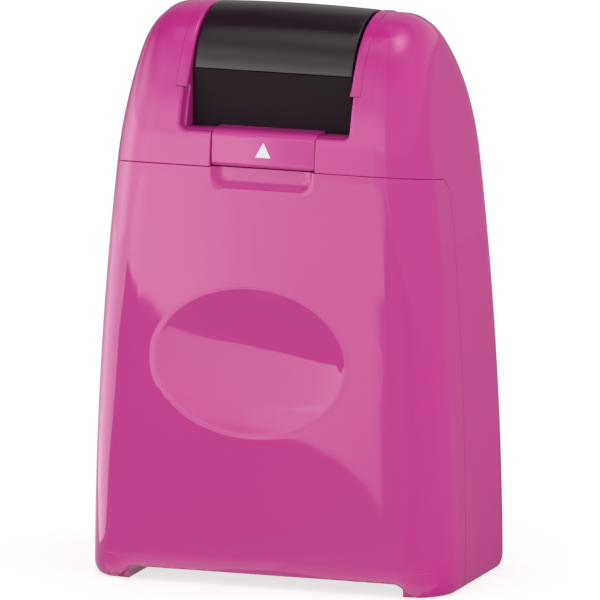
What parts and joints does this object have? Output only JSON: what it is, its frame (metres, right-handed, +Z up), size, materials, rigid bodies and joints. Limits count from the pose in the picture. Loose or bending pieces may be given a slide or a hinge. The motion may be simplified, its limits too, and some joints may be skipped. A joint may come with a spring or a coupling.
{
  "type": "privacy roller stamp",
  "caption": "Pocket roller stamp that inks over printed addresses, with a domed case, swinging shutter and a lift-out roller cartridge.",
  "frame": {"origin": "on the standing surface, under the middle of the case", "axes": "+Z up from the foot to the dome, +X to the right as seen from the front, front faces -Y"},
  "size_m": [0.062, 0.036, 0.093],
  "materials": {
    "pink_abs": "glossy moulded ABS",
    "black_abs": "satin moulded ABS",
    "white_ink": "pad-printed ink",
    "steel_pin": "ground pin",
    "acetal": "natural acetal",
    "print_rubber": "inked print rubber",
    "ink_felt": "ink-soaked felt"
  },
  "bodies": {
    "case": {"rear_housing": "pink_abs", "front_cover": "pink_abs", "base_plate": "pink_abs", "left_guide_cheek": "pink_abs", "right_guide_cheek": "pink_abs", "cradle_floor": "pink_abs"},
    "cartridge": {"cartridge_tub": "black_abs", "left_side_plate": "black_abs", "right_side_plate": "black_abs", "roller_axle": "steel_pin", "ink_axle": "steel_pin", "pull_tab": "pink_abs", "arrow_mark": "white_ink"},
    "shutter": {"shutter_cover": "black_abs"},
    "print_roller": {"print_core": "acetal", "print_rubber": "print_rubber", "left_print_flange": "acetal", "right_print_flange": "acetal"},
    "ink_roller": {"ink_core": "acetal", "ink_felt": "ink_felt", "left_ink_flange": "acetal", "right_ink_flange": "acetal"}
  },
  "joints": [
    {"name": "cartridge_slide", "type": "slide", "parent": "case", "child": "cartridge", "axis": [0, 0, 1], "range_m": [0, 0.036]},
    {"name": "shutter_swing", "type": "hinge", "parent": "cartridge", "child": "shutter", "pos_m": [0, -0.0011, 0.0813], "axis": [-1, 0, 0], "range_deg": [0, 110]},
    {"name": "print_spin", "type": "hinge", "parent": "cartridge", "child": "print_roller", "pos_m": [0, -0.0011, 0.0813], "axis": [1, 0, 0], "continuous": true},
    {"name": "ink_spin", "type": "hinge", "parent": "cartridge", "child": "ink_roller", "pos_m": [0, -0.00623, 0.0672], "axis": [1, 0, 0], "continuous": true}
  ],
  "couplings": [
    {"joint": "ink_spin", "follows": "print_spin", "ratio": -2.0833}
  ]
}
